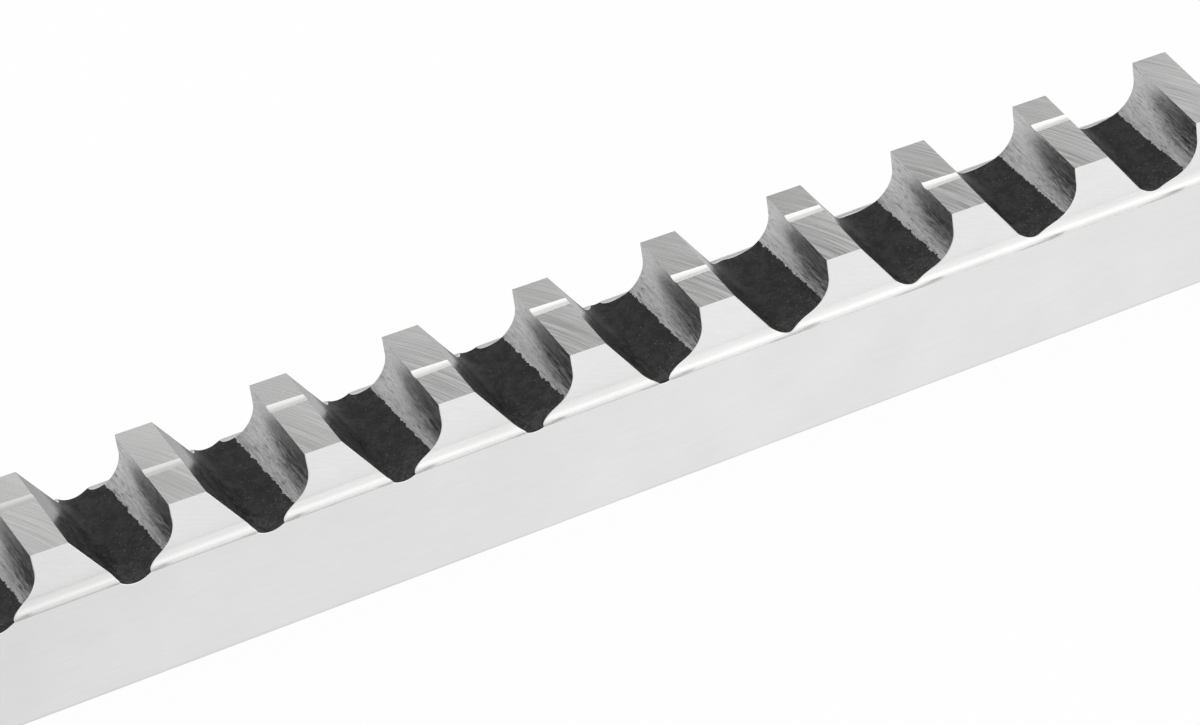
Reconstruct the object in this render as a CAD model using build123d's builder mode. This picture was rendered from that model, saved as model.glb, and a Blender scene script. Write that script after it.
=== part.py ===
"""A push-type keyway broach, ground from one bar of tool steel.

X runs along the bar from the pilot end to the tail, Y runs across it, and Z runs up from the flat back.
The origin is at the middle of the length and width, on the back. All sizes are in millimetres.
"""

import math
import os

from build123d import *

INCH = 25.4

# The bar: a body that runs in a guide slot, and a narrower ridge on it that carries the teeth
LENGTH = 11.75 * INCH
BODY_WIDTH = 0.375 * INCH
TOOTH_WIDTH = 8.0
SHOULDER_HEIGHT = 8.54
SHOULDER_FLAT = 0.06
SHOULDER_WIDTH = (BODY_WIDTH - TOOTH_WIDTH) / 2
FILLET_RADIUS = SHOULDER_WIDTH - SHOULDER_FLAT
BACK_CHAMFER = 0.06

# The row of teeth, numbered from 0 at the pilot; the last few only finish the keyway
PITCH = 0.375 * INCH
PILOT_LENGTH = 1.75 * INCH
SHORTEST_TAIL = 20.0
TOOTH_COUNT = int((LENGTH - PILOT_LENGTH - SHORTEST_TAIL) // PITCH)
FINISHING_COUNT = 4
ROUGHING_COUNT = TOOTH_COUNT - FINISHING_COUNT
FIRST_TOOTH_X = PILOT_LENGTH - LENGTH / 2
TAIL_X = FIRST_TOOTH_X + TOOTH_COUNT * PITCH
FIRST_TOOTH_HEIGHT = 12.04
RISE = 0.056
HIGHEST_TOOTH = FIRST_TOOTH_HEIGHT + ROUGHING_COUNT * RISE

# One tooth: the land on top, the hooked cutting face under its edge, and the gullet in front of that
LAND_LENGTH = 2.605
RELIEF_ANGLE = 1.21
RELIEF_DROP = LAND_LENGTH * math.tan(math.radians(RELIEF_ANGLE))
HOOK_ANGLE = 5.8
FACE_LENGTH = 1.42
FACE_RADIUS = 2.37
BACK_ANGLE = 54.8
ROOT_RADIUS = 1.5

# The gullets' floors: steep up to the last of the roughing teeth, and then flatter from tooth to tooth
STEEP_FLOOR = 29.0
FLAT_FLOOR = 15.0
EASED_COUNT = 8

# Chip breakers: one shallow groove along each roughing tooth, to alternate sides of the middle
BREAKER_RADIUS = 0.7
BREAKER_DEPTH = 0.14
BREAKER_Y_EVEN = -0.5
BREAKER_Y_ODD = 1.16
BREAKER_OVERRUN = 0.8

# The two plain ends, a little lower than the teeth beside them
PILOT_DROP = 0.6
PILOT_TOP = FIRST_TOOTH_HEIGHT - PILOT_DROP
PILOT_BEVEL_LENGTH = 4.0
PILOT_BEVEL_DROP = 1.4
TAIL_DROP = 0.5
TAIL_TOP = HIGHEST_TOOTH - TAIL_DROP
END_CHAMFER = 1.0

# How far a cutting shape stands clear of the bar
CUT_MARGIN = 2.0
CUT_TOP = HIGHEST_TOOTH + CUT_MARGIN


def tooth_height(number):
    """Height of a tooth's cutting edge: each roughing tooth stands higher than the one before."""
    return FIRST_TOOTH_HEIGHT + RISE * min(number, ROUGHING_COUNT)


def floor_angle(number):
    """Slope of the gullet's floor before a tooth: the flatter it is, the shallower the gullet."""
    eased = min(max(number - ROUGHING_COUNT + EASED_COUNT, 0), EASED_COUNT)
    return STEEP_FLOOR - (STEEP_FLOOR - FLAT_FLOOR) * eased / EASED_COUNT


def gullet(tip_height, before_height, before_drop, floor_slope):
    """Draw one gullet in side view, with its cutting edge at the sketch's origin.

    Args:
        tip_height: height of that cutting edge.
        before_height: height of the surface before the gullet, one pitch back from the edge.
        before_drop: how far that surface has dropped by the time it meets the gullet.
        floor_slope: angle at which the floor falls away from the bowl.

    Returns:
        The region to cut away, with everything above the surface before it.
    """
    face_down = Vector(1, 0).rotate(Axis.Z, HOOK_ANGLE - 90)
    floor_way = Vector(-1, 0).rotate(Axis.Z, floor_slope)
    back_way = Vector(1, 0).rotate(Axis.Z, -BACK_ANGLE)
    surface_start = Vector(-PITCH, before_height - tip_height)
    surface_end = surface_start + Vector(LAND_LENGTH, -before_drop)
    top = CUT_TOP - tip_height
    with BuildSketch(mode=Mode.PRIVATE) as region:
        with BuildLine():
            face = Line((0, 0), face_down * FACE_LENGTH)
            bowl = JernArc(face @ 1, face_down, FACE_RADIUS, floor_slope - HOOK_ANGLE - 90)
            valley = Axis(bowl @ 1, floor_way).intersect(Axis(surface_end, back_way))
            FilletPolyline(bowl @ 1, valley, surface_end, radius=ROOT_RADIUS)
            Polyline(surface_end, surface_start, (-PITCH, top), (0, top), (0, 0))
        make_face()
    return region.sketch


pilot_gullet = gullet(FIRST_TOOTH_HEIGHT, PILOT_TOP, 0, floor_angle(0))
tail_gullet = gullet(TAIL_TOP, tooth_height(TOOTH_COUNT - 1), RELIEF_DROP, floor_angle(TOOTH_COUNT))

with BuildPart() as keyway_broach:
    # The bar's cross-section, with a hollow fillet where the ridge stands on the body
    with BuildSketch(Plane.YZ) as section:
        Rectangle(BODY_WIDTH, SHOULDER_HEIGHT, align=(Align.CENTER, Align.MIN))
        Rectangle(TOOTH_WIDTH, HIGHEST_TOOTH, align=(Align.CENTER, Align.MIN))
        levels = section.vertices().group_by(Axis.Y)
        fillet(levels[1].sort_by(Axis.X)[1:-1], FILLET_RADIUS)
        chamfer(levels[0], BACK_CHAMFER)
    extrude(amount=LENGTH / 2, both=True)

    # Side view of the whole bar: the bevelled pilot, the low tail and the chamfered ends
    with BuildSketch(Plane.XZ):
        with BuildLine():
            Polyline(
                (-LENGTH / 2, END_CHAMFER),
                (-LENGTH / 2, PILOT_TOP - PILOT_BEVEL_DROP),
                (-LENGTH / 2 + PILOT_BEVEL_LENGTH, PILOT_TOP),
                (FIRST_TOOTH_X - PITCH, PILOT_TOP),
                (FIRST_TOOTH_X - PITCH, CUT_TOP),
                (TAIL_X, CUT_TOP),
                (TAIL_X, TAIL_TOP),
                (LENGTH / 2 - END_CHAMFER, TAIL_TOP),
                (LENGTH / 2, TAIL_TOP - END_CHAMFER),
                (LENGTH / 2, END_CHAMFER),
                (LENGTH / 2 - END_CHAMFER, 0),
                (-LENGTH / 2 + END_CHAMFER, 0),
                close=True,
            )
        make_face()
    extrude(amount=BODY_WIDTH, both=True, mode=Mode.INTERSECT)

    # Plan view: the same chamfer on the upright corners of both ends
    with BuildSketch(Plane.XY) as plan:
        Rectangle(LENGTH, BODY_WIDTH)
        chamfer(plan.vertices(), END_CHAMFER)
    extrude(amount=CUT_TOP, mode=Mode.INTERSECT)

    # The gullets, cut from the pilot end to the tail
    for number in range(TOOTH_COUNT + 1):
        if number == 0:
            shape = pilot_gullet
            height = FIRST_TOOTH_HEIGHT
        elif number == TOOTH_COUNT:
            shape = tail_gullet
            height = TAIL_TOP
        else:
            height = tooth_height(number)
            shape = gullet(height, tooth_height(number - 1), RELIEF_DROP, floor_angle(number))
        with BuildSketch(Plane.XZ):
            with Locations((FIRST_TOOTH_X + number * PITCH, height)):
                add(shape)
        extrude(amount=BODY_WIDTH, both=True, mode=Mode.SUBTRACT)

    # The chip breakers along the roughing teeth
    for number in range(ROUGHING_COUNT):
        breaker_y = BREAKER_Y_ODD if number % 2 else BREAKER_Y_EVEN
        breaker_z = tooth_height(number) - BREAKER_DEPTH + BREAKER_RADIUS
        start_x = FIRST_TOOTH_X + number * PITCH - BREAKER_OVERRUN
        with BuildSketch(Plane.YZ.offset(start_x)):
            with Locations((breaker_y, breaker_z)):
                Circle(BREAKER_RADIUS)
        extrude(amount=LAND_LENGTH + 2 * BREAKER_OVERRUN, mode=Mode.SUBTRACT)

os.makedirs("parts", exist_ok=True)
keyway_broach.part.label = "keyway_broach"
export_step(keyway_broach.part, "parts/keyway_broach.step")
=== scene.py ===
"""Looks for a push-type keyway broach: its finely shaped bar, ground and blackened steel, and a studio."""

import logging
import math
from dataclasses import dataclass
from enum import IntEnum
from functools import cache
from typing import NamedTuple

import bmesh
import bpy
from mathutils import Matrix, Vector


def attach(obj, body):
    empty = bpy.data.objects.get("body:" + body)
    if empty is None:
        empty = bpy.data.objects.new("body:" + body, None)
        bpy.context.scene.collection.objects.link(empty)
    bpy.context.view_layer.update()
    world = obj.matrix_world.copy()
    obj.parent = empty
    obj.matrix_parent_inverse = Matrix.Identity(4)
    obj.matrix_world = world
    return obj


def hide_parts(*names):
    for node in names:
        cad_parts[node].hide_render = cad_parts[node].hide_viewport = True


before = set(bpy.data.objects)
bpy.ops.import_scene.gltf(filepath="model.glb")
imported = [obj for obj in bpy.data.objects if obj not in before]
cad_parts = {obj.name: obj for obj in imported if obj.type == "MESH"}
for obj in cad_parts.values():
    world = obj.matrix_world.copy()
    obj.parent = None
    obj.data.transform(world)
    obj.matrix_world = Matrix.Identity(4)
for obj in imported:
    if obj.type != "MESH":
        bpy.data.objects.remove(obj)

LOG = logging.getLogger("broach")
MM = 0.001
NODE = "keyway_broach"
WHITE = (1.0, 1.0, 1.0, 1.0)
NO_TOOTH = -1
# A face with more corners than this is a whole side of the bar
QUAD = 4
# How near a cut takes a point as its own, and how near a point counts as found again, in millimetres
CUT_SNAP = 1e-6
NEAR = 1e-4
# The middle of a noise's range, which holds most of its values
MIDDLE = (0.3, 0.7)
# The wheel's arcs: what their group takes, how often one breaks off, and how far apart two teeth's arcs are
ARC_INPUTS = ("Along", "Across", "Tooth", "Centre X", "Centre Y", "Spacing")
ARC_PIECES = 3.0
TOOTH_STEP = 7.31

BMesh = bmesh.types.BMesh
Tree = bpy.types.NodeTree
Socket = bpy.types.NodeSocket
Fed = Socket | float
Pair = tuple[float, float]
Triple = tuple[float, float, float]
Colour = tuple[float, float, float, float]


class Zone(IntEnum):
    """The surfaces of the bar that each get their own material, by finish or by painted light; each number
    is its place in the material list.
    """

    BACK = 0
    BODY_SIDE = 1
    FILLET = 2
    RIDGE_SIDE = 3
    LAND = 4
    GULLET = 5
    BREAKER = 6
    BACK_RIM = 7
    END = 8
    RIDGE_EDGE = 9
    SEAM = 10
    BACK_EDGE = 11
    FACE_RIM = 12


class Ramp(NamedTuple):
    """Maps one range of values onto another, and holds values inside it."""

    low: float
    high: float
    to_low: float
    to_high: float


def of_kind(items: list, kind: type) -> list:
    """Pick the items of one kind out of what an operator made."""
    return [item for item in items if isinstance(item, kind)]


def tags(items: bmesh.types.BMEdgeSeq | bmesh.types.BMFaceSeq) -> tuple:
    """Find the layers with the zones and tooth numbers of a mesh's edges or faces."""
    return items.layers.int["zone"], items.layers.int["tooth"]


def everything(mesh: BMesh) -> list:
    """List all of a mesh's corners, edges and faces."""
    return [*mesh.verts, *mesh.edges, *mesh.faces]


def cut(mesh: BMesh, parts: list, point: Triple, way: Triple, drop: bool = False) -> list:
    """Cut parts of a mesh along a plane.

    Args:
        mesh: the mesh.
        parts: its corners, edges and faces that are cut.
        point: a point of the plane.
        way: the direction that the plane faces.
        drop: whether what lies that way is taken off.

    Returns:
        The corners and edges in the plane.
    """
    plane = {"plane_co": point, "plane_no": way, "clear_outer": drop}
    return bmesh.ops.bisect_plane(mesh, geom=parts, dist=CUT_SNAP, **plane)["geom_cut"]


def new_object(name: str, data: bpy.types.ID | BMesh) -> bpy.types.Object:
    """Put a shape, a camera or a lamp into the scene.

    Args:
        name: the object's name.
        data: what it shows; a bmesh is turned into a mesh and freed.

    Returns:
        The object.
    """
    if isinstance(data, BMesh):
        shape, data = data, bpy.data.meshes.new(name)
        shape.to_mesh(data)
        shape.free()
    made = bpy.data.objects.new(name, data)
    bpy.context.scene.collection.objects.link(made)
    return made


@dataclass(frozen=True)
class ToothForm:
    """One tooth and the gullet in front of it, in millimetres and degrees."""

    pitch: float = 9.525
    land: float = 2.605
    relief: float = 1.21
    hook: float = 5.8
    face: float = 1.42
    bowl_radius: float = 2.37
    steep_floor: float = 29.0
    flat_floor: float = 15.0
    back: float = 54.8
    root_radius: float = 1.5
    bowl_steps: int = 22
    root_steps: int = 18

    @property
    def relief_drop(self) -> float:
        """How far the land falls from its cutting edge to its trailing edge."""
        return self.land * math.tan(math.radians(self.relief))


@dataclass(frozen=True)
class BreakerForm:
    """The shallow groove that splits the chip on a roughing tooth, in millimetres."""

    radius: float = 0.7
    depth: float = 0.14
    y_even: float = -0.5
    y_odd: float = 1.16
    strips: int = 12
    scored_ahead: float = 0.1

    def side(self, number: int) -> float:
        """Where across the bar the groove of one tooth lies."""
        return self.y_odd if number % 2 else self.y_even

    def half_angle(self, depth: float) -> float:
        """Half of the groove's arc where it is cut to a depth, in radians."""
        return math.acos((self.radius - depth) / self.radius)


class OutlinePen:
    """Draws the bar's side view as one chain of tagged edges, in millimetres."""

    def __init__(self, mesh: BMesh, x: float, z: float, y: float) -> None:
        """Put the pen down.

        Args:
            mesh: the mesh.
            x: start along the bar.
            z: start above the back.
            y: the upright plane that the outline lies in.
        """
        self.mesh = mesh
        self.zone, self.tooth = tags(mesh.edges)
        self.first = mesh.verts.new((x, y, z))
        self.last = self.first

    def _tag(self, zone: Zone, tooth: int) -> None:
        """Tag every edge that has no tag yet, with numbers one higher, because 0 stands for none.

        Args:
            zone: the finish of the surface that it becomes.
            tooth: the tooth that it belongs to.
        """
        for edge in self.mesh.edges:
            if edge[self.zone] == 0:
                edge[self.zone] = int(zone) + 1
                edge[self.tooth] = tooth + 1

    def line(self, x: float, z: float, zone: Zone, tooth: int = NO_TOOTH) -> None:
        """Draw a straight line to a point.

        Args:
            x: end along the bar.
            z: end above the back.
            zone: the finish of the surface that it becomes.
            tooth: the tooth that it belongs to.
        """
        made = bmesh.ops.extrude_vert_indiv(self.mesh, verts=[self.last])
        self.last = made["verts"][0]
        bmesh.ops.translate(self.mesh, verts=[self.last], vec=Vector((x, self.last.co.y, z)) - self.last.co)
        self._tag(zone, tooth)

    def arc(self, x: float, z: float, angle: float, steps: int, zone: Zone, tooth: int) -> None:
        """Draw an arc about a centre.

        Args:
            x: centre along the bar.
            z: centre above the back.
            angle: turn about the Y axis, in radians.
            steps: straight pieces in the arc.
            zone: the finish of the surface that it becomes.
            tooth: the tooth that it belongs to.
        """
        options = {"axis": (0, 1, 0), "angle": angle, "steps": steps, "use_duplicate": False}
        made = bmesh.ops.spin(self.mesh, geom=[self.last], cent=(x, self.last.co.y, z), **options)
        self.last = of_kind(made["geom_last"], bmesh.types.BMVert)[0]
        self._tag(zone, tooth)

    def close(self, zone: Zone) -> None:
        """Join the last point to the first."""
        self.mesh.edges.new((self.last, self.first))
        self._tag(zone, NO_TOOTH)


@dataclass
class BroachBar:
    """The whole tool: a body, a narrower toothed ridge, a pilot and a tail, in millimetres and degrees."""

    length: float = 298.45
    body_width: float = 9.525
    ridge_width: float = 8.0
    shoulder: float = 8.54
    shoulder_flat: float = 0.06
    shoulder_rise: float = 0.001
    back_edge: float = 0.06
    back_steps: int = 3
    back_lift: float = 0.001
    back_edge_top: float = 0.2
    seam_height: float = 0.004
    fillet_steps: int = 14
    pilot_length: float = 44.45
    teeth: int = 24
    roughing: int = 20
    eased_teeth: int = 8
    first_height: float = 12.04
    rise: float = 0.056
    pilot_drop: float = 0.6
    pilot_bevel_length: float = 4.0
    pilot_bevel_drop: float = 1.4
    tail_drop: float = 0.5
    end_chamfer: float = 1.0
    edge_break: float = 0.04
    falling_normal: float = 0.05
    level_normal: float = 0.9
    crease: float = 12.0
    normal_weight: int = 100
    form: ToothForm = ToothForm()
    breaker: BreakerForm = BreakerForm()

    @property
    def first_x(self) -> float:
        """Where the first cutting edge lies along the bar."""
        return self.pilot_length - self.length / 2

    @property
    def fillet_radius(self) -> float:
        """Radius of the hollow fillet at the foot of the ridge."""
        return (self.body_width - self.ridge_width) / 2 - self.shoulder_flat

    def height(self, number: int) -> float:
        """Height of one cutting edge above the back."""
        return self.first_height + self.rise * min(number, self.roughing)

    def floor_slope(self, number: int) -> float:
        """Work out how steep a gullet's floor is: less and less over the last roughing teeth.

        Args:
            number: the tooth behind it.

        Returns:
            The slope in degrees.
        """
        eased = min(max(number - self.roughing + self.eased_teeth, 0), self.eased_teeth)
        fall = self.form.steep_floor - self.form.flat_floor
        return self.form.steep_floor - fall * eased / self.eased_teeth

    def half_width(self, z: float) -> float:
        """Half of the bar's width at a height above the back.

        Args:
            z: height in millimetres.

        Returns:
            The distance from the middle to the side.
        """
        half_body = self.body_width / 2
        radius = self.fillet_radius
        if z <= self.back_edge:
            down = self.back_edge - max(z, 0.0)
            return half_body - self.back_edge + math.sqrt(max(self.back_edge**2 - down**2, 0.0))
        if z < self.shoulder + self.shoulder_rise / 2:
            return half_body
        if z < self.shoulder + radius:
            down = self.shoulder + radius - z
            return self.ridge_width / 2 + radius - math.sqrt(max(radius**2 - down**2, 0.0))
        return self.ridge_width / 2

    def levels(self) -> list[float]:
        """Find the heights at which the section changes its slope.

        Returns:
            The heights, from the back upwards.
        """
        radius = self.fillet_radius
        found = [self.shoulder, self.shoulder + self.shoulder_rise, self.back_edge, self.back_edge_top]
        for step in range(self.back_steps):
            turn = math.pi / 2 * (step + 0.5) / self.back_steps
            found.append(self.back_edge - self.back_edge * math.cos(turn) + self.back_edge * self.back_lift)
        for step in range(self.fillet_steps):
            turn = math.pi / 2 * step / self.fillet_steps
            found.append(self.shoulder + radius - radius * math.sin(turn))
        return sorted(found)

    def draw_outline(self, mesh: BMesh, y: float) -> None:
        """Draw the side view of the bar in one upright plane.

        Args:
            mesh: the mesh.
            y: the plane's place across the bar.
        """
        half = self.length / 2
        tail_top = self.height(self.teeth) - self.tail_drop
        pilot_top = self.first_height - self.pilot_drop
        pen = OutlinePen(mesh, half, self.end_chamfer, y)
        pen.line(half, tail_top - self.end_chamfer, Zone.END)
        pen.line(half - self.end_chamfer, tail_top, Zone.END)
        pen.line(self.first_x + self.teeth * self.form.pitch, tail_top, Zone.LAND)
        for number in range(self.teeth, 0, -1):
            tip_height = tail_top if number == self.teeth else self.height(number)
            before = self.height(number - 1)
            self.draw_gullet(pen, number, tip_height, before - self.form.relief_drop)
            pen.line(self.first_x + (number - 1) * self.form.pitch, before, Zone.LAND, number - 1)
        self.draw_gullet(pen, 0, self.first_height, pilot_top)
        pen.line(-half + self.pilot_bevel_length, pilot_top, Zone.LAND)
        pen.line(-half, pilot_top - self.pilot_bevel_drop, Zone.END)
        pen.line(-half, self.end_chamfer, Zone.END)
        pen.line(-half + self.end_chamfer, 0.0, Zone.END)
        pen.line(half - self.end_chamfer, 0.0, Zone.BACK)
        pen.close(Zone.END)

    def draw_gullet(self, pen: OutlinePen, number: int, tip_height: float, end_height: float) -> None:
        """Draw one gullet from its cutting edge down the face, round the bowl and root and up the back.

        Args:
            pen: the pen, which stands at the cutting edge.
            number: the tooth whose face this is.
            tip_height: height of its cutting edge.
            end_height: height of the surface that the gullet's back rises to.
        """
        form = self.form
        angles = (form.hook, self.floor_slope(number), form.back)
        hook, floor, back = (math.radians(angle) for angle in angles)
        tip = Vector((self.first_x + number * form.pitch, tip_height))
        end = Vector((tip.x - form.pitch + form.land, end_height))
        down = Vector((math.sin(hook), -math.cos(hook)))
        face_end = tip + down * form.face
        bowl = face_end + Vector((-math.cos(hook), -math.sin(hook))) * form.bowl_radius
        bowl_end = bowl + Vector((math.sin(floor), -math.cos(floor))) * form.bowl_radius
        floor_way = Vector((-math.cos(floor), -math.sin(floor)))
        back_way = Vector((-math.cos(back), math.sin(back)))
        # The floor and the back meet in a valley, and the root arc is tangent to both
        gap = end - bowl_end
        run = gap.cross(back_way) / floor_way.cross(back_way)
        valley = bowl_end + floor_way * run
        reach = form.root_radius * math.tan((floor + back) / 2)
        root_start = valley - floor_way * reach
        root = root_start + Vector((-math.sin(floor), math.cos(floor))) * form.root_radius
        pen.line(face_end.x, face_end.y, Zone.GULLET, number)
        pen.arc(bowl.x, bowl.y, math.pi / 2 + hook - floor, form.bowl_steps, Zone.GULLET, number)
        pen.line(root_start.x, root_start.y, Zone.GULLET, number)
        pen.arc(root.x, root.y, floor + back, form.root_steps, Zone.GULLET, number)
        pen.line(end.x, end.y, Zone.GULLET, number - 1)

    def build_mesh(self) -> BMesh:
        """Make the closed bar in millimetres.

        Returns:
            The bar, with a zone on every face.
        """
        mesh = bmesh.new()
        for layers in (mesh.edges.layers.int, mesh.faces.layers.int):
            layers.new("zone")
            layers.new("tooth")
        self.draw_outline(mesh, self.edge_break - self.body_width / 2)
        self.make_slab(mesh)
        self.break_edges(mesh)
        self.shape_section(mesh)
        self.cut_end_corners(mesh)
        for number in range(self.roughing):
            self.cut_breaker(mesh, number)
        bmesh.ops.recalc_face_normals(mesh, faces=mesh.faces)
        return mesh

    def make_slab(self, mesh: BMesh) -> None:
        """Fill the outline, draw it out across the bar and carry the edges' tags over to the faces.

        Args:
            mesh: the outline's mesh.
        """
        edge_zone, edge_tooth = tags(mesh.edges)
        face_zone, face_tooth = tags(mesh.faces)
        bmesh.ops.edgeloop_fill(mesh, edges=list(mesh.edges))
        drawn = bmesh.ops.extrude_face_region(mesh, geom=list(mesh.faces))
        moved = of_kind(drawn["geom"], bmesh.types.BMVert)
        bmesh.ops.translate(mesh, verts=moved, vec=(0, self.body_width - 2 * self.edge_break, 0))
        for face in mesh.faces:
            if len(face.verts) > QUAD:
                face[face_zone] = int(Zone.BODY_SIDE)
                continue
            edge = next(edge for edge in face.edges if edge[edge_zone] > 0)
            face[face_zone] = edge[edge_zone] - 1
            face[face_tooth] = edge[edge_tooth]
        bmesh.ops.recalc_face_normals(mesh, faces=mesh.faces)

    def break_edges(self, mesh: BMesh) -> None:
        """Break the sharp rim of both sides with a small even chamfer.

        Args:
            mesh: the slab.
        """
        face_zone, face_tooth = tags(mesh.faces)
        for cap in [face for face in mesh.faces if len(face.verts) > QUAD]:
            way = 1.0 if cap.calc_center_median().y > 0 else -1.0
            rim = bmesh.ops.inset_region(
                mesh, faces=[cap], thickness=self.edge_break, use_boundary=True, use_even_offset=True
            )
            for face in rim["faces"]:
                neighbours = {other for edge in face.edges for other in edge.link_faces}
                beside = [other.normal for other in neighbours if other[face_zone] == Zone.GULLET]
                face[face_zone] = int(Zone.RIDGE_EDGE)
                if beside:
                    level = max(abs(normal.z) for normal in beside) >= self.level_normal
                    falling = any(normal.x > self.falling_normal for normal in beside)
                    face[face_zone] = int(Zone.BACK_RIM if falling and not level else Zone.FACE_RIM)
                face[face_tooth] = 0
            bmesh.ops.translate(mesh, verts=cap.verts[:], vec=(0, way * self.edge_break, 0))

    def shape_section(self, mesh: BMesh) -> None:
        """Cut the slab at each level of its section, then draw its sides in to the ridge and fillets.

        Args:
            mesh: the slab.
        """
        face_zone = mesh.faces.layers.int["zone"]
        for level in self.levels():
            cut(mesh, everything(mesh), (0, 0, level), (0, 0, 1))
        for face in mesh.faces:
            if face[face_zone] != Zone.BODY_SIDE:
                continue
            middle = face.calc_center_bounds()
            if middle.z > self.shoulder + self.fillet_radius:
                face[face_zone] = int(Zone.RIDGE_SIDE)
            elif middle.z > self.shoulder + self.seam_height:
                # Painted shade: the far fillet takes the darker rim material, a shaded copy of the near
                # fillet's ground steel
                face[face_zone] = int(Zone.FILLET if middle.y < 0 else Zone.RIDGE_EDGE)
            elif middle.z > self.shoulder:
                face[face_zone] = int(Zone.SEAM)
            elif middle.z < self.back_edge_top:
                face[face_zone] = int(Zone.BACK_EDGE)
        half_slab = self.body_width / 2
        for vertex in mesh.verts:
            inward = half_slab - abs(vertex.co.y)
            vertex.co.y = math.copysign(self.half_width(vertex.co.z) - inward, vertex.co.y)

    def cut_end_corners(self, mesh: BMesh) -> None:
        """Chamfer the upright corners of both ends.

        Args:
            mesh: the bar.
        """
        face_zone = mesh.faces.layers.int["zone"]
        for end, side in ((-1, -1), (-1, 1), (1, -1), (1, 1)):
            corner = (end * (self.length / 2 - self.end_chamfer), side * self.body_width / 2, 0)
            rim = of_kind(cut(mesh, everything(mesh), corner, (end, side, 0), True), bmesh.types.BMEdge)
            for face in bmesh.ops.edgeloop_fill(mesh, edges=rim)["faces"]:
                face[face_zone] = int(Zone.END)

    def cut_breaker(self, mesh: BMesh, number: int) -> None:
        """Score one tooth lengthwise at each strip of its groove, then sink the scored edges.

        Args:
            mesh: the bar.
            number: the tooth.
        """
        form, groove = self.form, self.breaker
        face_zone, face_tooth = tags(mesh.faces)
        tip_x = self.first_x + number * form.pitch
        tip_z = self.height(number)
        end_x = tip_x + form.land
        end_z = tip_z - form.relief_drop
        middle = groove.side(number)
        front = groove.half_angle(groove.depth)
        rear = groove.half_angle(groove.depth - form.relief_drop)
        for strip in range(groove.strips + 1):
            share = 2 * strip / groove.strips - 1
            front_y = middle + groove.radius * math.sin(front * share)
            rear_y = middle + groove.radius * math.sin(rear * share)
            # Only the land, the straight of the face and the back of the gullet behind are scored
            scored = [
                face
                for face in mesh.faces
                if face[face_tooth] == number + 1
                and face[face_zone] in (Zone.LAND, Zone.GULLET)
                and face.calc_center_bounds().z > tip_z - form.face
                and tip_x - groove.scored_ahead < face.calc_center_bounds().x < end_x + form.land
            ]
            edges = dict.fromkeys(edge for face in scored for edge in face.edges)
            corners = dict.fromkeys(vertex for face in scored for vertex in face.verts)
            cut(mesh, [*corners, *edges, *scored], (tip_x, front_y, 0), (front_y - rear_y, end_x - tip_x, 0))
        axis_z = tip_z - groove.depth + groove.radius
        for vertex in mesh.verts:
            x, y, z = vertex.co
            off = y - middle
            if abs(off) >= groove.radius:
                continue
            sunk = axis_z - math.sqrt(groove.radius**2 - off**2)
            if abs(x - tip_x) < NEAR and abs(z - tip_z) < NEAR and sunk < tip_z - NEAR:
                vertex.co.z = sunk
                vertex.co.x = tip_x + (tip_z - sunk) * math.tan(math.radians(form.hook))
            elif abs(x - end_x) < NEAR and abs(z - end_z) < NEAR and sunk < end_z - NEAR:
                vertex.co.z = sunk
                vertex.co.x = end_x + (end_z - sunk) / math.tan(math.radians(form.back))
        reach = groove.radius * math.sin((front + rear) / 2)
        for face in mesh.faces:
            if face[face_zone] == Zone.LAND and face[face_tooth] == number + 1:
                if abs(face.calc_center_median().y - middle) < reach:
                    face[face_zone] = int(Zone.BREAKER)

    def build(self) -> bpy.types.Object:
        """Make the bar's object in metres, dressed with its finishes.

        Returns:
            The object, which stands for the CAD node.
        """
        mesh = self.build_mesh()
        open_edges = sum(1 for edge in mesh.edges if len(edge.link_faces) != 2)
        LOG.info("bar: %d faces, %d open edges, %.0f mm3", len(mesh.faces), open_edges, mesh.calc_volume())
        face_zone = mesh.faces.layers.int["zone"]
        bmesh.ops.scale(mesh, verts=mesh.verts, vec=(MM, MM, MM))
        for face in mesh.faces:
            face.material_index = face[face_zone]
            face.smooth = True
        for edge in mesh.edges:
            edge.smooth = edge.calc_face_angle(0.0) < math.radians(self.crease)
        piece = new_object("broach_bar", mesh)
        for zone in Zone:
            piece.data.materials.append(FINISHES[zone].material())
        weighted = piece.modifiers.new("even_normals", "WEIGHTED_NORMAL")
        weighted.keep_sharp = True
        weighted.weight = self.normal_weight
        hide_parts(NODE)
        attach(piece, "root")
        return piece


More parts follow.
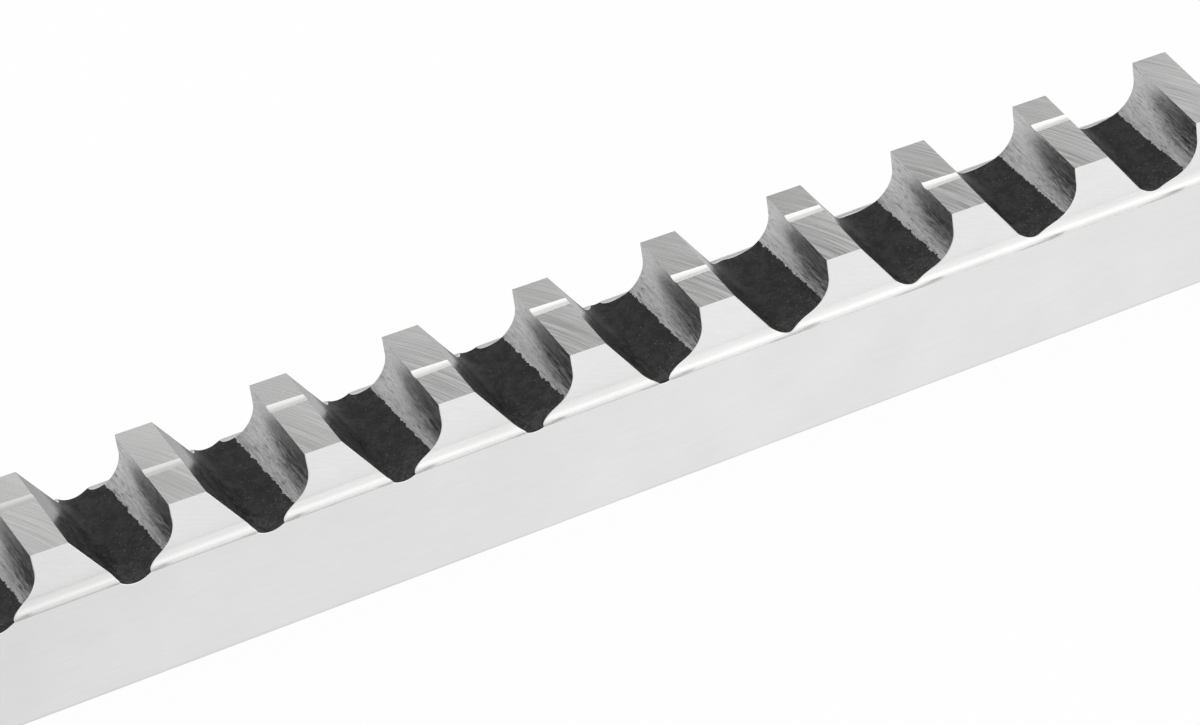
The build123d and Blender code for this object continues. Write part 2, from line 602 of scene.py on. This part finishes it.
class Graph:
    """A node tree that is being wired up."""

    def __init__(self, tree: Tree) -> None:
        """Take the tree and empty it."""
        self.tree = tree
        tree.nodes.clear()

    @classmethod
    def of(cls, owner: bpy.types.Material | bpy.types.World) -> "Graph":
        """Start the graph of a material or of the world."""
        owner.use_nodes = True
        return cls(owner.node_tree)

    def add(self, kind: str, inputs: dict | None = None, **settings: object) -> bpy.types.Node:
        """Add a node.

        Args:
            kind: the node's type name.
            inputs: values or output sockets for its inputs, by name or number.
            **settings: the node's own properties.

        Returns:
            The new node.
        """
        node = self.tree.nodes.new(kind)
        for name, value in settings.items():
            setattr(node, name, value)
        for name, value in (inputs or {}).items():
            if isinstance(value, Socket):
                self.tree.links.new(value, node.inputs[name])
            else:
                node.inputs[name].default_value = value
        return node

    def group(self, tree: Tree, inputs: dict) -> bpy.types.Node:
        """Place a shared node group."""
        return self.add("ShaderNodeGroup", inputs, node_tree=tree)

    def sums(self, operation: str, *values: Fed) -> Socket:
        """Work out one sum on values."""
        return self.add("ShaderNodeMath", dict(enumerate(values)), operation=operation).outputs[0]

    def plus(self, first: Fed, second: Fed) -> Socket:
        """Add two values."""
        return self.sums("ADD", first, second)

    def minus(self, first: Fed, second: Fed) -> Socket:
        """Take the second value from the first."""
        return self.sums("SUBTRACT", first, second)

    def times(self, first: Fed, second: Fed) -> Socket:
        """Multiply two values."""
        return self.sums("MULTIPLY", first, second)

    def weigh(self, first: Fed, share: float, second: Fed) -> Socket:
        """Add a share of the first value to the rest of the second."""
        return self.plus(self.times(first, share), self.times(second, 1 - share))

    def between(self, share: Fed, first: Fed, second: Fed) -> Socket:
        """Mix two values."""
        return self.add("ShaderNodeMix", {0: share, 2: first, 3: second}, data_type="FLOAT").outputs[0]

    def ramp(self, value: Fed, low: float, high: float, to_low: float, to_high: float) -> Socket:
        """Map a value from one range to another, and hold it inside."""
        inputs = {"Value": value, "From Min": low, "From Max": high, "To Min": to_low, "To Max": to_high}
        return self.add("ShaderNodeMapRange", inputs, clamp=True).outputs["Result"]

    def blend(self, share: Fed, first: Socket | Colour, second: Socket | Colour) -> Socket:
        """Mix two colours."""
        return self.add("ShaderNodeMix", {0: share, 6: first, 7: second}, data_type="RGBA").outputs[2]

    def noise(self, vector: Socket, scale: Fed, detail: float, roughness: float) -> Socket:
        """Make a noise about 0.5."""
        inputs = {"Vector": vector, "Scale": scale, "Detail": detail, "Roughness": roughness}
        return self.add("ShaderNodeTexNoise", inputs).outputs["Fac"]

    def scaled(self, vector: Socket, factor: Fed) -> Socket:
        """Multiply a vector or a colour by one value."""
        return self.add("ShaderNodeVectorMath", {0: vector, "Scale": factor}, operation="SCALE").outputs[0]

    def stretched(self, vector: Socket, factors: Socket | Triple) -> Socket:
        """Multiply each part of a vector by its own factor."""
        return self.add("ShaderNodeVectorMath", {0: vector, 1: factors}, operation="MULTIPLY").outputs[0]

    def split(self, vector: Socket) -> tuple[Socket, Socket, Socket]:
        """Take a vector apart into X, Y and Z."""
        return tuple(self.add("ShaderNodeSeparateXYZ", {0: vector}).outputs)

    def place_mm(self) -> Socket:
        """Find the point on the piece, in millimetres."""
        return self.scaled(self.add("ShaderNodeTexCoord").outputs["Object"], 1 / MM)

    def finish(self, inputs: dict, bump: float, distance: float, height: Socket) -> None:
        """End a material with a Principled surface that has a bump.

        Args:
            inputs: the surface's values and sockets, by name.
            bump: the bump's strength.
            distance: how far it reaches, in metres.
            height: the height that it follows.
        """
        raised = self.add("ShaderNodeBump", {"Strength": bump, "Distance": distance, "Height": height})
        surface = self.add("ShaderNodeBsdfPrincipled", inputs | {"Normal": raised.outputs[0]})
        self.add("ShaderNodeOutputMaterial", {"Surface": surface.outputs[0]})


def new_group(name: str, inputs: dict[str, str], *outputs: str) -> tuple:
    """Start a node group that materials share, with values as its outputs.

    Args:
        name: the group's name.
        inputs: its input names, each with Float or Vector.
        *outputs: its output names.

    Returns:
        The group's graph, and its inputs' sockets by name.
    """
    tree = bpy.data.node_groups.new(name, "ShaderNodeTree")
    for socket, kind in inputs.items():
        tree.interface.new_socket(name=socket, in_out="INPUT", socket_type=f"NodeSocket{kind}")
    for socket in outputs:
        tree.interface.new_socket(name=socket, in_out="OUTPUT", socket_type="NodeSocketFloat")
    graph = Graph(tree)
    return graph, graph.add("NodeGroupInput").outputs


@cache
def grind_lines() -> Tree:
    """Build the fine straight scratches of a grinding wheel, drawn out along one way.

    Returns:
        The group, with coarse lines and finer ones.
    """
    graph, given = new_group("grind_lines", {"Place": "Vector", "Stretch": "Vector"}, "Lines", "Fine")
    drawn = graph.stretched(given["Place"], given["Stretch"])
    lines = graph.noise(drawn, 1.0, 3.0, 0.6)
    fine = graph.noise(drawn, 3.7, 2.0, 0.7)
    graph.add("NodeGroupOutput", {"Lines": lines, "Fine": fine})
    return graph.tree


@cache
def soft_patches() -> Tree:
    """Build the broad soft patches of handled steel.

    Returns:
        The group.
    """
    graph, given = new_group("soft_patches", {"Place": "Vector", "Size": "Float"}, "Patches")
    scale = graph.sums("DIVIDE", 1.0, given["Size"])
    graph.add("NodeGroupOutput", {"Patches": graph.noise(given["Place"], scale, 4.0, 0.55)})
    return graph.tree


@cache
def wheel_arcs() -> Tree:
    """Build the lands' curved grinding marks, about a centre beside the bar.

    Returns:
        The group.
    """
    graph, given = new_group("wheel_arcs", dict.fromkeys(ARC_INPUTS, "Float"), "Arcs")
    away_x = graph.minus(given["Along"], given["Centre X"])
    away_y = graph.minus(given["Across"], given["Centre Y"])
    squares = graph.plus(graph.sums("POWER", away_x, 2.0), graph.sums("POWER", away_y, 2.0))
    radius = graph.sums("SQRT", squares)
    ring = graph.sums("DIVIDE", radius, given["Spacing"])
    turn = graph.times(graph.sums("ARCTAN2", away_y, away_x), ARC_PIECES)
    own = graph.times(given["Tooth"], TOOTH_STEP)
    spot = graph.add("ShaderNodeCombineXYZ", {"X": ring, "Y": turn, "Z": own}).outputs[0]
    graph.add("NodeGroupOutput", {"Arcs": graph.noise(spot, 1.0, 1.5, 0.5)})
    return graph.tree


def patches(graph: Graph, place: Socket, size: float) -> Socket:
    """Place soft patches of a size."""
    return graph.group(soft_patches(), {"Place": place, "Size": size}).outputs["Patches"]


@dataclass(frozen=True)
class Steel:
    """A ground steel finish with straight lines from the wheel."""

    name: str
    colour: Triple
    roughness: float
    stretch: Triple
    contrast: float = 0.05
    patchiness: float = 0.03
    patch_size: float = 6.0
    bump: float = 0.25
    bump_reach: float = 0.000004
    rough_swing: float = 0.08
    line_share: float = 0.6
    slope: float = 0.0
    # Painted light: the share by which the colour is made darker at the start of a ramp along the bar,
    # reaching full brightness at its end
    painted_light_from: float = 0.0
    painted_light_to: float = 40.0
    painted_light: float = 0.0

    def tone(self, share: float) -> Colour:
        """Make the finish's colour lighter or darker by a share."""
        return tuple(min(part * (1 + share), 1.0) for part in self.colour) + (1.0,)

    def shade(self, graph: Graph, place: Socket) -> Socket:
        """Work out how much lighter or darker the finish is: random broad patches, and painted light along
        the bar where it is set.

        Args:
            graph: the material's graph.
            place: the point, in millimetres.

        Returns:
            The colour's factor.
        """
        soft = patches(graph, place, self.patch_size)
        shade = graph.ramp(soft, *MIDDLE, 1 - self.patchiness, 1 + self.patchiness)
        # Painted light: darker towards the pilot end, brighter towards the tail
        if self.painted_light:
            along = graph.split(place)[0]
            shade = graph.times(shade, graph.ramp(along, self.painted_light_from, self.painted_light_to, 1 - self.painted_light, 1.0))
        return shade

    def pattern(self, graph: Graph, place: Socket) -> Socket:
        """Work out the marks.

        Args:
            graph: the material's graph.
            place: the point, in millimetres.

        Returns:
            Their value, about 0.5 on average.
        """
        inputs = {"Vector": place, "Axis": (0, 1, 0), "Angle": math.radians(self.slope)}
        turned = graph.add("ShaderNodeVectorRotate", inputs).outputs[0]
        lines = graph.group(grind_lines(), {"Place": turned, "Stretch": self.stretch}).outputs
        return graph.weigh(lines["Lines"], self.line_share, lines["Fine"])

    def material(self) -> bpy.types.Material:
        """Make the material.

        Returns:
            The material.
        """
        made = bpy.data.materials.new(self.name)
        graph = Graph.of(made)
        place = graph.place_mm()
        marks = self.pattern(graph, place)
        share = graph.ramp(marks, *MIDDLE, 0.0, 1.0)
        lined = graph.blend(share, self.tone(-self.contrast), self.tone(self.contrast))
        colour = graph.scaled(lined, self.shade(graph, place))
        swing = self.rough_swing
        rough = graph.ramp(marks, *MIDDLE, self.roughness - swing, self.roughness + swing)
        inputs = {"Base Color": colour, "Metallic": 1.0, "Roughness": rough}
        graph.finish(inputs, self.bump, self.bump_reach, marks)
        return made


@dataclass(frozen=True)
class LandSteel(Steel):
    """The tops of the teeth and of the plain ends, with curved marks from a cup wheel."""

    start: float = 0.0
    pitch: float = ToothForm.pitch
    count: int = BroachBar.teeth
    ahead: float = 0.5
    centre_x: float = -15.4
    centre_y: float = -10.7
    spacing: float = 0.14
    fade_size: float = 2.2
    fade: Ramp = Ramp(0.38, 0.62, 0.45, 1.25)
    near_strength: Ramp = Ramp(-4.0, 3.0, 1.6, 0.65)
    # Painted light: each land is made lighter towards its trailing edge and towards its far side
    rear_painted_light: Ramp = Ramp(0.6, 2.6, 0.99, 1.05)
    far_painted_light: Ramp = Ramp(-2.0, 3.0, 0.99, 1.06)

    def tooth_place(self, graph: Graph, place: Socket) -> tuple[Socket, Socket, Socket]:
        """Find where a point lies on its tooth; the pilot and the tail count as teeth too.

        Args:
            graph: the material's graph.
            place: the point, in millimetres.

        Returns:
            The tooth, the distance behind its edge and the place across the bar.
        """
        x, across, _ = graph.split(place)
        along = graph.minus(x, self.start)
        number = graph.sums("FLOOR", graph.sums("DIVIDE", graph.plus(along, self.ahead), self.pitch))
        tooth = graph.sums("MINIMUM", graph.sums("MAXIMUM", number, -1.0), float(self.count))
        return tooth, graph.minus(along, graph.times(tooth, self.pitch)), across

    def pattern(self, graph: Graph, place: Socket) -> Socket:
        """Work out the arcs, stronger towards the near side.

        Args:
            graph: the material's graph.
            place: the point, in millimetres.

        Returns:
            Their value, about 0.5 on average.
        """
        tooth, local, across = self.tooth_place(graph, place)
        values = (local, across, tooth, self.centre_x, self.centre_y, self.spacing)
        arcs = graph.group(wheel_arcs(), dict(zip(ARC_INPUTS, values))).outputs["Arcs"]
        fade = graph.ramp(patches(graph, place, self.fade_size), *self.fade)
        strength = graph.times(fade, graph.ramp(across, *self.near_strength))
        return graph.plus(graph.times(graph.minus(arcs, 0.5), strength), 0.5)

    def shade(self, graph: Graph, place: Socket) -> Socket:
        """Brighten each land a little towards its trailing edge and its far side with painted light, besides
        the patches.

        Args:
            graph: the material's graph.
            place: the point, in millimetres.

        Returns:
            The colour's factor.
        """
        _, local, across = self.tooth_place(graph, place)
        painted_light = graph.times(graph.ramp(local, *self.rear_painted_light), graph.ramp(across, *self.far_painted_light))
        return graph.times(super().shade(graph, place), painted_light)


class Look(NamedTuple):
    """What one part of a gullet gives to the surface."""

    colour: Socket
    rough: Socket
    height: Socket


def grey(level: float, share: float = 0.0) -> Colour:
    """Make a neutral colour, lighter or darker by a share."""
    return (min(level * (1 + share), 1.0),) * 3 + (1.0,)


@dataclass(frozen=True)
class BrightPart:
    """The ground face and bowl: wheel marks across the bar, short dark dashes, and painted shade deeper in
    the bowl.
    """

    level: float = 0.56
    stretch: Triple = (5.0, 0.45, 5.0)
    line_share: float = 0.45
    marks: Pair = (0.38, 0.62)
    swing: float = 0.34
    dash_stretch: Triple = (18.0, 1.2, 18.0)
    dash_tone: float = -0.7
    dash_edge: Ramp = Ramp(0.0, 0.03, 0.0, 0.85)
    worn_size: float = 3.0
    wear_and_sheen: Ramp = Ramp(0.35, 0.65, 0.68, 0.57)
    bowl_painted_shade: Ramp = Ramp(-1.0, 0.05, 0.74, 1.0)
    rough: Ramp = Ramp(0.36, 0.64, 0.28, 0.60)
    height: float = 0.5

    def look(self, graph: Graph, place: Socket, from_edge: Socket) -> Look:
        """Work out the look at a point.

        Args:
            graph: the material's graph.
            place: the point, in millimetres.
            from_edge: how far it lies behind its cutting edge along the bar.

        Returns:
            The look there.
        """
        lines = graph.group(grind_lines(), {"Place": place, "Stretch": self.stretch}).outputs
        marks = graph.weigh(lines["Lines"], self.line_share, lines["Fine"])
        dark, pale = grey(self.level, -self.swing), grey(self.level, self.swing)
        lined = graph.blend(graph.ramp(marks, *self.marks, 0.0, 1.0), dark, pale)
        dash = graph.noise(graph.stretched(place, self.dash_stretch), 1.0, 1.5, 0.5)
        limit = graph.ramp(patches(graph, place, self.worn_size), *self.wear_and_sheen)
        dashes = graph.ramp(graph.minus(dash, limit), *self.dash_edge)
        dashed = graph.blend(dashes, lined, grey(self.level, self.dash_tone))
        # Painted shade: darker deeper in the bowl, away from the cutting edge
        colour = graph.scaled(dashed, graph.ramp(from_edge, *self.bowl_painted_shade))
        return Look(colour, graph.ramp(marks, *self.rough), graph.times(marks, self.height))


@dataclass(frozen=True)
class BlackPart:
    """The black scale: a fine grain, pale specks on the near side, and a painted reflection that greys it on
    the tooth backs and near the near side.
    """

    level: float = 0.0075
    grain_scale: float = 4.2
    grain_share: float = 0.55
    cloud_size: float = 0.8
    mottle: Pair = (0.43, 0.59)
    darker: float = -0.95
    lighter: float = 2.4
    painted_sheen_grey: float = 0.155
    back_painted_sheen: Ramp = Ramp(4.6, 6.8, 0.125, 0.0)
    near_painted_sheen: Ramp = Ramp(-3.8, -2.2, 0.08, 0.0)
    painted_sheen_range: Pair = (0.5, 1.5)
    speck_scale: float = 5.4
    speck_limit: Ramp = Ramp(-4.0, 1.0, 0.58, 0.94)
    speck_edge: Ramp = Ramp(0.12, 0.28, 0.8, 0.0)
    speck_colour: Colour = (0.17, 0.155, 0.14, 1.0)
    stretch: Triple = (5.5, 0.28, 5.5)
    line_height: float = 0.1
    coarseness: Ramp = Ramp(4.1, 4.9, 0.25, 1.0)
    unevenness: Ramp = Ramp(0.35, 0.65, -0.12, 0.12)
    rough: Ramp = Ramp(4.1, 4.9, 0.21, 0.46)
    height: float = 1.8

    def look(self, graph: Graph, place: Socket, across: Socket, behind: Socket) -> Look:
        """Work out the look at a point.

        Args:
            graph: the material's graph.
            place: the point, in millimetres.
            across: its place across the bar.
            behind: how far it lies behind the tooth edge before the gullet.

        Returns:
            The look there.
        """
        grain = graph.noise(place, self.grain_scale, 2.0, 0.55)
        mixed = graph.weigh(grain, self.grain_share, patches(graph, place, self.cloud_size))
        dark, pale = grey(self.level, self.darker), grey(self.level, self.lighter)
        mottled = graph.blend(graph.ramp(mixed, *self.mottle, 0.0, 1.0), dark, pale)
        # Painted reflection: the black is made paler grey high on the tooth backs and towards the near side,
        # where the backs catch light
        wear_and_sheen = graph.plus(graph.ramp(behind, *self.back_painted_sheen), graph.ramp(across, *self.near_painted_sheen))
        wear_and_sheen = graph.times(wear_and_sheen, graph.ramp(mixed, *self.mottle, *self.painted_sheen_range))
        paler = graph.blend(wear_and_sheen, mottled, grey(self.painted_sheen_grey))
        cell = graph.add("ShaderNodeTexVoronoi", {"Vector": place, "Scale": self.speck_scale}).outputs
        chance = graph.add("ShaderNodeSeparateColor", {0: cell["Color"]}).outputs["Red"]
        chosen = graph.sums("GREATER_THAN", chance, graph.ramp(across, *self.speck_limit))
        speck = graph.times(chosen, graph.ramp(cell["Distance"], *self.speck_edge))
        colour = graph.blend(speck, paler, self.speck_colour)
        lines = graph.group(grind_lines(), {"Place": place, "Stretch": self.stretch}).outputs["Lines"]
        coarse = graph.ramp(behind, *self.coarseness)
        height = graph.times(graph.plus(grain, graph.times(lines, self.line_height)), coarse)
        uneven = graph.times(graph.ramp(grain, *self.unevenness), coarse)
        rough = graph.plus(uneven, graph.ramp(behind, *self.rough))
        return Look(colour, rough, graph.times(height, self.height))


@dataclass(frozen=True)
class GulletSteel:
    """A gullet: the face and bowl ground bright, the rest still black from heat treatment."""

    name: str
    start: float
    pitch: float
    bright: BrightPart = BrightPart()
    black: BlackPart = BlackPart()
    border: float = -0.82
    border_slant: float = -0.04
    border_waves: tuple[Triple, ...] = ((0.20, 0.85, 0.14), (0.17, 2.55, 2.15))
    ragged: Ramp = Ramp(0.25, 0.75, -0.13, 0.13)
    ragged_scale: float = 2.6
    face_top: float = 0.3
    before_border: float = 2.0
    specular: float = 0.34
    bump: float = 0.6
    bump_reach: float = 0.000012

    def border_place(self, graph: Graph, tooth: Socket, across: Socket) -> Socket:
        """Find where the black starts: a little different on each tooth, and not quite square.

        Args:
            graph: the material's graph.
            tooth: the tooth's number.
            across: the point's place across the bar.

        Returns:
            The distance from the cutting edge along the bar.
        """
        place = graph.plus(graph.times(across, self.border_slant), self.border)
        for height, step, start in self.border_waves:
            turn = graph.plus(graph.times(tooth, step), start)
            place = graph.plus(place, graph.times(graph.sums("SINE", turn), height))
        return place

    def material(self) -> bpy.types.Material:
        """Make the material.

        Returns:
            The material.
        """
        made = bpy.data.materials.new(self.name)
        graph = Graph.of(made)
        place = graph.place_mm()
        x, across, _ = graph.split(place)
        along = graph.minus(x, self.start - self.before_border)
        from_edge = graph.minus(graph.sums("FLOORED_MODULO", along, self.pitch), self.before_border)
        tooth = graph.sums("FLOOR", graph.sums("DIVIDE", along, self.pitch))
        wander = graph.ramp(graph.noise(place, self.ragged_scale, 3.5, 0.65), *self.ragged)
        border = self.border_place(graph, tooth, across)
        past_border = graph.sums("GREATER_THAN", graph.plus(from_edge, wander), border)
        ground = graph.times(past_border, graph.sums("LESS_THAN", from_edge, self.face_top))
        bright = self.bright.look(graph, place, from_edge)
        behind = graph.sums("FLOORED_MODULO", from_edge, self.pitch)
        black = self.black.look(graph, place, across, behind)
        inputs = {
            "Base Color": graph.blend(ground, black.colour, bright.colour),
            "Metallic": ground,
            "Roughness": graph.between(ground, black.rough, bright.rough),
            "Specular IOR Level": self.specular,
        }
        graph.finish(inputs, self.bump, self.bump_reach, graph.between(ground, black.height, bright.height))
        return made


BAR = BroachBar()
ALONG_X = (0.12, 7.0, 7.0)
ALONG_Y = (7.0, 0.12, 7.0)
FINISHES = {
    Zone.BACK: Steel("back_ground", (0.74, 0.74, 0.73), 0.36, ALONG_X),
    Zone.BODY_SIDE: Steel(
        "body_side_ground", (0.81, 0.81, 0.815), 0.36, (0.35, 5.0, 5.0), contrast=0.03, patchiness=0.02
    ),
    Zone.FILLET: Steel("fillet_ground", (0.84, 0.84, 0.835), 0.27, ALONG_X, painted_light_to=20.0, painted_light=0.07),
    Zone.RIDGE_SIDE: Steel(
        "ridge_side_ground", (0.84, 0.84, 0.84), 0.33, (0.6, 6.0, 6.0), patchiness=0.02, slope=-24.0
    ),
    Zone.LAND: LandSteel(
        "land_ground", (0.71, 0.71, 0.705), 0.27, ALONG_X, contrast=0.048, start=BAR.first_x
    ),
    Zone.GULLET: GulletSteel("gullet_ground_and_black", BAR.first_x, BAR.form.pitch),
    Zone.BREAKER: Steel(
        "breaker_ground", (0.97, 0.965, 0.94), 0.46, ALONG_X, contrast=0.07, painted_light_to=34.0, painted_light=0.28
    ),
    # Painted highlight: the rims along the gullets' backs are made near white for a bright line along those
    # edges, besides their polish
    Zone.BACK_RIM: Steel(
        "rim_polished_painted_highlight", (0.96, 0.96, 0.96), 0.30, ALONG_X, contrast=0.02, patchiness=0.1, patch_size=3.0
    ),
    Zone.END: Steel("end_ground", (0.74, 0.74, 0.73), 0.36, ALONG_Y),
    # Painted shade: the far fillet shares this darker material with the rims
    Zone.RIDGE_EDGE: Steel("rim_and_shaded_far_fillet", (0.72, 0.72, 0.72), 0.36, ALONG_X, contrast=0.02),
    Zone.SEAM: Steel(
        "seam_dull", (0.85, 0.85, 0.84), 0.40, (1.5, 6.0, 6.0),
        contrast=0.12, painted_light_from=-10.0, painted_light_to=75.0, painted_light=0.24,
    ),
    # Painted shade: the rounded bottom edge is a little darker than the side above it, where the bar meets
    # the floor
    Zone.BACK_EDGE: Steel("back_edge_ground_painted_shade", (0.755, 0.755, 0.76), 0.38, ALONG_X, contrast=0.04),
    Zone.FACE_RIM: Steel(
        "rim_ground", (0.84, 0.84, 0.84), 0.34, ALONG_X, contrast=0.02, patchiness=0.16, patch_size=3.0
    ),
}


@dataclass
class Studio:
    """The floor, light and camera, in metres and degrees, with the floor's ramp in millimetres."""

    azimuth: float = -27.379136
    elevation: float = 39.159024
    roll: float = -2.034391
    focal_px: float = 6258.1356
    distance: float = 0.4058347
    shift_right: float = -0.000349443
    shift_up: float = -0.004145243
    target: Triple = (0.0428625, 0.0, 0.012908)
    frame_width: int = 1200
    sensor_width: float = 36.0
    nearest: float = 0.01
    farthest: float = 20.0
    floor_size: float = 4.0
    floor_paint: Colour = (0.95, 0.95, 0.95, 1.0)
    floor_glow: float = 0.94
    floor_mirrored: Ramp = Ramp(-10.0, 50.0, 0.90, 0.99)
    front_right: Ramp = Ramp(0.2, 0.5, 0.97, 1.12)
    front_height: Ramp = Ramp(0.0, 0.6, 0.93, 1.0)
    wall_right: Ramp = Ramp(0.2, 0.5, 0.86, 0.17)
    wall_start: float = 0.18
    wall_slant: float = 1.4
    wall_edge: Ramp = Ramp(0.10, 0.29, 0.0, 1.0)
    horizon_ahead: Ramp = Ramp(0.0, 0.6, 1.0, 0.84)
    horizon_edge: Ramp = Ramp(0.02, 0.25, 0.0, 1.0)
    softbox_way: Triple = (0.43, -0.38, 0.82)
    softbox_size: Pair = (0.7, 0.5)
    softbox_away: float = 0.9
    softbox_radiance: float = 0.16

    def camera_axes(self) -> tuple[Vector, Vector, Vector]:
        """Work out which way the camera is turned.

        Returns:
            Its right, up and back directions.
        """
        turn, tilt, roll = (math.radians(angle) for angle in (self.azimuth, self.elevation, self.roll))
        back = Vector((math.sin(turn) * math.cos(tilt), -math.cos(turn) * math.cos(tilt), math.sin(tilt)))
        right = Vector((math.cos(turn), math.sin(turn), 0.0))
        up = back.cross(right)
        rolled_right = right * math.cos(roll) + up * math.sin(roll)
        rolled_up = up * math.cos(roll) - right * math.sin(roll)
        return rolled_right, rolled_up, back

    def set_camera(self) -> None:
        """Put the camera where the photograph was taken from."""
        right, up, back = self.camera_axes()
        data = bpy.data.cameras.new("photo_camera")
        data.sensor_width = self.sensor_width
        data.lens = self.focal_px / self.frame_width * self.sensor_width
        data.clip_start = self.nearest
        data.clip_end = self.farthest
        camera = new_object("photo_camera", data)
        shift = right * self.shift_right + up * self.shift_up
        place = Vector(self.target) + back * self.distance + shift
        camera.matrix_world = Matrix.Translation(place) @ Matrix((right, up, back)).transposed().to_4x4()
        bpy.context.scene.camera = camera

    def lay_floor(self) -> None:
        """Lay a plain pale floor under the bar, which glows white where it is seen or mirrored."""
        mesh = bmesh.new()
        bmesh.ops.create_grid(mesh, x_segments=1, y_segments=1, size=self.floor_size / 2)
        floor = new_object("floor", mesh)
        made = bpy.data.materials.new("floor_white")
        graph = Graph.of(made)
        paint = graph.add("ShaderNodeBsdfDiffuse", {"Color": self.floor_paint})
        mirrored = graph.ramp(graph.split(graph.place_mm())[0], *self.floor_mirrored)
        path = graph.add("ShaderNodeLightPath").outputs
        strength = graph.sums("MAXIMUM", path["Is Camera Ray"], mirrored)
        glow = graph.add("ShaderNodeEmission", {"Color": WHITE, "Strength": strength})
        seen = graph.sums("MAXIMUM", path["Is Camera Ray"], path["Is Glossy Ray"])
        seen = graph.sums("MAXIMUM", seen, path["Is Transmission Ray"])
        share = graph.times(seen, self.floor_glow)
        mixed = graph.add("ShaderNodeMixShader", {0: share, 1: paint.outputs[0], 2: glow.outputs[0]})
        graph.add("ShaderNodeOutputMaterial", {"Surface": mixed.outputs[0]})
        floor.data.materials.append(made)

    def set_world(self) -> None:
        """Set a broad soft light in front and overhead, brighter to the right, and a dimmer wall behind."""
        world = bpy.data.worlds.new("studio")
        bpy.context.scene.world = world
        graph = Graph.of(world)
        right, ahead, height = graph.split(graph.add("ShaderNodeTexCoord").outputs["Generated"])
        front = graph.times(graph.ramp(right, *self.front_right), graph.ramp(height, *self.front_height))
        wall = graph.ramp(right, *self.wall_right)
        slant = graph.minus(ahead, graph.times(graph.minus(right, self.wall_start), self.wall_slant))
        overhead = graph.between(graph.ramp(slant, *self.wall_edge), front, wall)
        horizon = graph.ramp(ahead, *self.horizon_ahead)
        level = graph.between(graph.ramp(height, *self.horizon_edge), horizon, overhead)
        strength = graph.between(graph.add("ShaderNodeLightPath").outputs["Is Camera Ray"], level, 1.0)
        glow = graph.add("ShaderNodeBackground", {"Color": WHITE, "Strength": strength})
        graph.add("ShaderNodeOutputWorld", {"Surface": glow.outputs[0]})

    def hang_softbox(self) -> None:
        """Hang a rectangular soft light that faces the bar; a radiance of 1 would show it as white."""
        data = bpy.data.lights.new("front_softbox", "AREA")
        data.shape = "RECTANGLE"
        data.size, data.size_y = self.softbox_size
        data.energy = self.softbox_radiance * math.pi * data.size * data.size_y
        lamp = new_object("front_softbox", data)
        towards = Vector(self.softbox_way).normalized()
        place = Matrix.Translation(Vector(self.target) + towards * self.softbox_away)
        lamp.matrix_world = place @ towards.to_track_quat("Z", "Y").to_matrix().to_4x4()

    def build(self) -> None:
        """Set up the whole studio."""
        self.set_camera()
        self.lay_floor()
        self.set_world()
        self.hang_softbox()


def main() -> None:
    """Build the tool and the studio."""
    logging.basicConfig(level=logging.INFO, format="%(name)s: %(message)s")
    bpy.context.scene.view_settings.view_transform = "Standard"
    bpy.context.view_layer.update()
    piece = BAR.build()
    LOG.info("piece %s with %d materials", piece.name, len(piece.data.materials))
    Studio().build()


if __name__ == "__main__":
    main()
